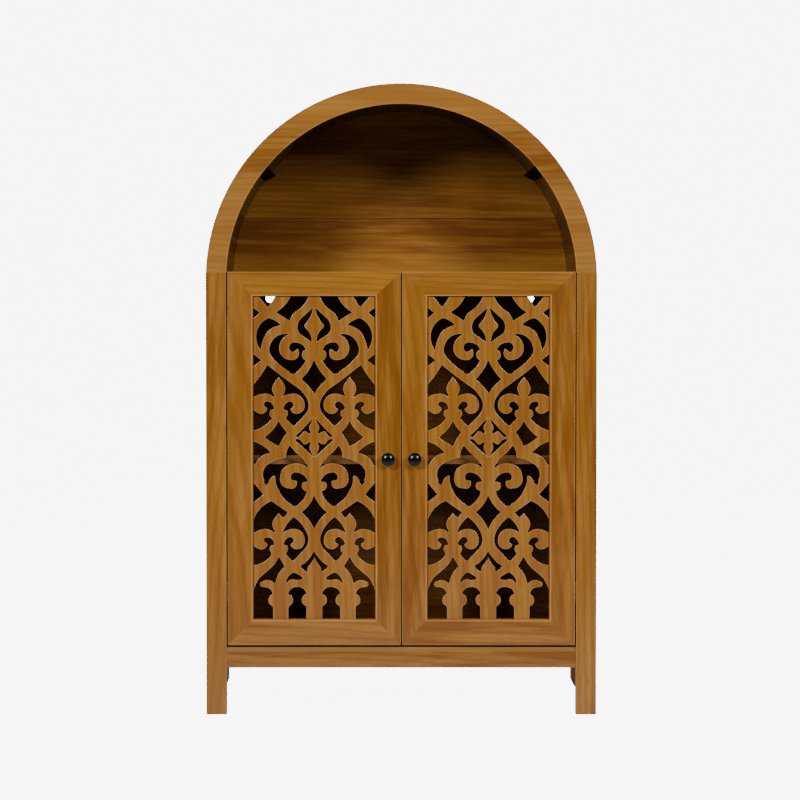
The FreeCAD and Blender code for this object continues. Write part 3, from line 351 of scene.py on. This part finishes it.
def arch_finish(face):
    """The outer corner is as brown as the flat face, and the inner one is paler, as a painted highlight."""
    return FLAT if math.hypot(face.center.x, face.center.z - ARCH_CENTRE) > OUTSIDE else ROUND


start = (0.05, 0.4, 0.35)
arch_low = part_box("arch_front")[0]
finish = oak_foil("arch_foil", "x", start)
tinted(finish, ramp(finish, "Z", 1.20, 1.24, 0.0, 0.42), "#C0853A")
tinted(finish, ramp(finish, "Z", 1.07, 1.12, 0.25, 0.0), "#BE8A48")
eased("arch_front", (finish, oak_foil("arch_edge_foil", "x", start, **HIGHLIGHT_PAINT_TONES)), arch_edge,
      finish_of=arch_finish)


# Apron. A rail dowelled between the posts. Its front is planed off at the upper edge, which is painted a
# little paler, as a painted highlight where it faces up to the lights. Its lower edges are as brown as the
# rest.
def apron_finish(face):
    """The upper rounds get the painted highlight, and the lower ones are as brown as the flat face."""
    return FLAT if face.center.z < 0.1 else ROUND


start = (0.9, 0.15, 0.6)
finish = oak_foil("apron_foil", "x", start, mid="#835628")
# Painted highlight: the planed-off upper edge is a little paler
tinted(finish, ramp(finish, "Z", 0.1285, 0.1305, 0.0, 0.4), "#B0844E")
eased("front_apron", (finish, oak_foil("apron_edge_foil", "x", start, **HIGHLIGHT_PAINT_TONES)),
      long_edge("front_apron", 0), finish_of=apron_finish)


# Boards of the carcass. They are plain foiled boards with square edges, butted and dowelled. The rear posts
# are painted a darker, greyer brown down at the feet, as painted shade under the cabinet, and the shelf's
# front edge is painted paler, as painted light that falls through the fretwork.
def clad(node, finish):
    """Gives a CAD piece its one finish."""
    nodes[node].data.materials.clear()
    nodes[node].data.materials.append(finish)


for number, (node, along) in enumerate((
        ("left_side_panel", "z"), ("right_side_panel", "z"), ("left_rear_post", "z"),
        ("right_rear_post", "z"), ("niche_floor", "x"), ("bottom_board", "x"), ("rear_rail", "x"),
        ("adjustable_shelf", "x"))):
    finish = oak_foil(node + "_foil", along, (0.17 * number, 0.23, 0.31 * number))
    if node in ("left_rear_post", "right_rear_post"):
        # Painted shade: the rear posts' feet are darker and greyer, where the cabinet shades them
        tinted(finish, ramp(finish, "Z", 0.08, 0.12, 1.0, 0.0), "#C6CEF6", blend="MULTIPLY")
    if node == "adjustable_shelf":
        # Painted light: a paler strip on the shelf's front edge, where light falls through the fretwork
        shelf_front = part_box(node)[0].y
        painted_light_on_shelf_edge = ramp(finish, "Y", shelf_front + 0.0004, shelf_front + 0.0006, 0.85, 0.0)
        tinted(finish, painted_light_on_shelf_edge, "#C48C54")
    clad(node, finish)

# Curved tops. Bent boards, glued at the crown, whose foil follows the curve. The face towards the niche, up
# to 376 mm from the arch's centre, is painted a darker brown, as painted shade inside the niche.
for number, node in enumerate(("left_curved_top", "right_curved_top")):
    finish = oak_foil(node + "_foil", "arc", (1.36 + 0.17 * number, 0.23, 0.4))
    tree = finish.node_tree
    place = add_node(tree, "ShaderNodeTexCoord", {}).outputs["Object"]
    spot = add_node(tree, "ShaderNodeVectorMath", {
        0: place, 1: (0, 0, ARCH_CENTRE)}, operation="SUBTRACT").outputs[0]
    level = add_node(tree, "ShaderNodeVectorMath", {0: spot, 1: (1, 0, 1)}, operation="MULTIPLY").outputs[0]
    radius = add_node(tree, "ShaderNodeVectorMath", {0: level}, operation="LENGTH").outputs["Value"]
    painted_niche_shade = add_node(tree, "ShaderNodeMapRange", {
        0: radius, 1: 0.370, 2: 0.376, 3: 1.0, 4: 0.0}).outputs[0]
    tinted(finish, painted_niche_shade, "#787470", blend="MULTIPLY")
    clad(node, finish)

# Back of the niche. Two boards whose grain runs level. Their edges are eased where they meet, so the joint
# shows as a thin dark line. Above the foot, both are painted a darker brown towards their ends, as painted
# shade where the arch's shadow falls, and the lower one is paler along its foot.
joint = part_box("niche_back_lower_board")[1].z
for number, (node, mid, red) in enumerate((("niche_back_lower_board", "#9E6722", "#834D1C"),
                                           ("niche_back_upper_board", "#9E6A24", "#88541C"))):
    near_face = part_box(node)[0].y
    start = (0.7 * number, 0.3, 0.31 * number)
    finish = oak_foil(node + "_foil", "x", start, mid, "#B27E36", "#744012", red)
    # Painted shade: above the foot, the boards are darker towards their ends, where the arch's shadow falls
    left_painted_shade = ramp(finish, "X", -0.19, -0.09, 1.0, 0.0)
    right_painted_shade = ramp(finish, "X", 0.14, 0.20, 0.0, 0.8)
    ends = add_node(finish.node_tree, "ShaderNodeMath", {0: left_painted_shade, 1: right_painted_shade}).outputs[0]
    above = ramp(finish, "Z", 0.93, 1.00, 0.25, 1.0)
    share = add_node(finish.node_tree, "ShaderNodeMath", {
        0: ends, 1: above}, operation="MULTIPLY").outputs[0]
    tinted(finish, share, "#DFDDD8", blend="MULTIPLY")
    if node == "niche_back_lower_board":
        tinted(finish, ramp(finish, "Z", 0.924, 0.952, 0.35, 0.0), "#C08C36")
    eased(node, (finish,
                 oak_foil(node + "_edge_foil", "x", start, "#5E3612", "#6C4218", "#4A280E", "#583010")),
          lambda first, second: on(first.y, near_face) and on(second.y, near_face)
          and on(first.z, joint) and on(second.z, joint), width=0.0007)

# Back panel. One thinner board with a darker brown foil. It is screwed on from behind, and its two round
# holes let the white of the room show.
clad("lower_back_panel", oak_foil(
    "back_panel_foil", "x", (1.4, 0.3, 0.62), "#7E5018", "#8E6024", "#5A300C", "#704218"))

# Cleats of the niche's back. Softwood strips, nearly black and matt, without lacquer, so that they don't
# shine where the light grazes them.
for node in ("left_niche_cleat", "right_niche_cleat"):
    finish = oak_foil(node + "_stain", "y", (0, 0, 0), "#180B05", "#221108", "#0E0603", "#140A05")
    black_matt = finish.node_tree.nodes["Principled BSDF"].inputs
    finish.node_tree.links.remove(black_matt["Roughness"].links[0])
    black_matt["Roughness"].default_value = 0.9
    black_matt["Specular IOR Level"].default_value = 0.1
    clad(node, finish)

# Doors. Each frame has two stiles and two rails, glued at mitred corners. Their foil runs along each of
# them, differs a little in colour from one to the next, and turns the front edges in a small round.
FRAME = {"left_door_inner_stile": "#875417", "right_door_inner_stile": "#A67026",
         "left_door_outer_stile": "#A06A26", "right_door_outer_stile": "#905B1C",
         "left_door_top_rail": "#AB7420", "right_door_top_rail": "#9C6623",
         "left_door_bottom_rail": "#9A672A", "right_door_bottom_rail": "#A36F2E"}
for side, shift in (("left", 0.0), ("right", 1.7)):
    door_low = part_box(side + "_door_bottom_rail")[0]
    door_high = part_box(side + "_door_top_rail")[1]

    def frame_edge(first, second):
        """Front edges of the frame, inside and out, but not the mitres."""
        return (max(first.y, second.y) < door_low.y + 0.004
                and (on(first.x, second.x) or on(first.z, second.z)))

    def frame_finish(face):
        """Painted shade on the rounds turned into the gaps at the door's sides and bottom, and under the top
        rail.
        """
        near_gap = min(face.center.x - door_low.x, door_high.x - face.center.x,
                       face.center.z - door_low.z) < 0.0015
        return PAINTED_EDGE_SHADE if turned_away(face) and (near_gap or face.normal.z < -0.5) else ROUND

    for number, (part, along) in enumerate((("inner_stile", "z"), ("outer_stile", "z"),
                                            ("top_rail", "x"), ("bottom_rail", "x"))):
        node = "%s_door_%s" % (side, part)
        start = (0.41 + shift + 0.23 * number, 0.37 * number, 0.29 * number + shift)
        eased(node, (oak_foil(node + "_foil", along, start, FRAME[node]),
                     oak_foil(node + "_edge_foil", along, start, **HIGHLIGHT_PAINT_TONES),
                     oak_foil(node + "_edge_painted_shade", along, start, **SHADE_PAINT_TONES)),
              frame_edge, width=0.0011, finish_of=frame_finish)

    # Fretwork. A board pierced with a router. The rounds of its cut edges are painted a little paler in
    # front, as a painted highlight, and nearly black inside the holes, as painted shade. A thin painted
    # shadow line beside the stiles is darker, where the frame shades the panel. Strips behind the panel hold
    # it in the frame.
    node = side + "_door_fret_panel"
    low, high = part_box(node)
    middle = (low + high) / 2
    start = (0.8 + shift, 0.3, 0.2)
    finish = oak_foil(node + "_foil", "z", start, "#A06921", "#B27F38", "#7A4716", "#935A24")
    # Painted shadow: a thin darker line beside each stile, where the frame shades the panel
    tinted(finish, ramp(finish, "X", middle.x - 0.1238, middle.x - 0.1228, 1.0, 0.0), "#6A3E14")
    tinted(finish, ramp(finish, "X", middle.x + 0.1228, middle.x + 0.1238, 0.0, 1.0), "#6A3E14")
    # The cuts run through the holes, upright and level, so that no face is left with a hole in it
    upright = [((middle.x + way * 0.0626, 0, 0), (1, 0, 0)) for way in (-1, 0, 1)]
    level = [((0, 0, low.z + share * (high.z - low.z)), (0, 0, 1)) for share in (
        0.08, 0.16, 0.25, 0.33, 0.42, 0.5, 0.58, 0.67, 0.75, 0.84, 0.92)]
    # Painted highlight on the paler front rounds of the cut edges, and painted shade on the nearly black
    # rounds inside the holes
    eased(node, (finish,
                 oak_foil(node + "_edge_foil", "z", start, "#C2985E", "#D0A872", "#A07A44", "#B88A58"),
                 oak_foil(node + "_edge_painted_shade", "z", start, **SHADE_PAINT_TONES)),
          lambda first, second: on(first.y, low.y) and on(second.y, low.y),
          width=0.0010, steps=2, cuts=upright + level,
          finish_of=lambda face: PAINTED_EDGE_SHADE if turned_away(face) else ROUND)
    clad(side + "_door_panel_strips", oak_foil(side + "_door_panel_strips_foil", "z", start))


# Knobs, hinges and other metal. The knobs are zinc castings with a dark polished nickel plate, which mirrors
# the lights. Hinges, screws, strike plates and shelf pins are steel with a bright zinc plate.
def plated(name, colour, roughness, cloud_scale):
    """A plated metal whose gloss varies a little, in clouds."""
    finish, tree, surface = new_finish(name)
    place = add_node(tree, "ShaderNodeTexCoord", {}).outputs["Object"]
    cloud = add_node(tree, "ShaderNodeTexNoise", {
        "Vector": place, "Scale": cloud_scale, "Detail": 3.0, "Roughness": 0.6}).outputs[0]
    dull = add_node(tree, "ShaderNodeMapRange", {
        0: cloud, 1: 0.3, 2: 0.7, 3: roughness * 0.85, 4: roughness * 1.2}).outputs[0]
    shader = add_node(tree, "ShaderNodeBsdfPrincipled", {
        "Base Color": linear(colour), "Metallic": 1.0, "Roughness": dull})
    tree.links.new(shader.outputs[0], surface)
    return finish


dark_nickel = plated("dark_nickel_plate", "#353A39", 0.22, 90.0)
zinc = plated("zinc_plate", "#B9BABB", 0.34, 300.0)
for node in nodes:
    if node.endswith("_knob"):
        clad(node, dark_nickel)
    elif "screw" in node or "hinge" in node or "strike_plate" in node or node == "shelf_pins":
        clad(node, zinc)

# Dowels. Turned beech, left bare. They are glued into the boards of the carcass, and none of them shows
# from outside.
beech = oak_foil("bare_beech", "x", (0.6, 0, 0), "#CBA878", "#D8BA90", "#B08A58", "#C49A6C")
for node in nodes:
    if node.endswith("_dowels"):
        clad(node, beech)

# Magnetic catches. Their cases are injection-moulded white nylon with a fine satin texture, screwed up
# under the niche's floor.
nylon, tree, surface = new_finish("white_nylon")
place = add_node(tree, "ShaderNodeTexCoord", {}).outputs["Object"]
texture = add_node(tree, "ShaderNodeTexNoise", {
    "Vector": place, "Scale": 1800.0, "Detail": 2.0}).outputs[0]
relief = add_node(tree, "ShaderNodeBump", {"Height": texture, "Strength": 0.15, "Distance": 0.0002})
shader = add_node(tree, "ShaderNodeBsdfPrincipled", {
    "Base Color": linear("#EDEDEA"), "Roughness": 0.45, "IOR": 1.53, "Normal": relief.outputs[0]})
tree.links.new(shader.outputs[0], surface)
clad("magnetic_catches", nylon)
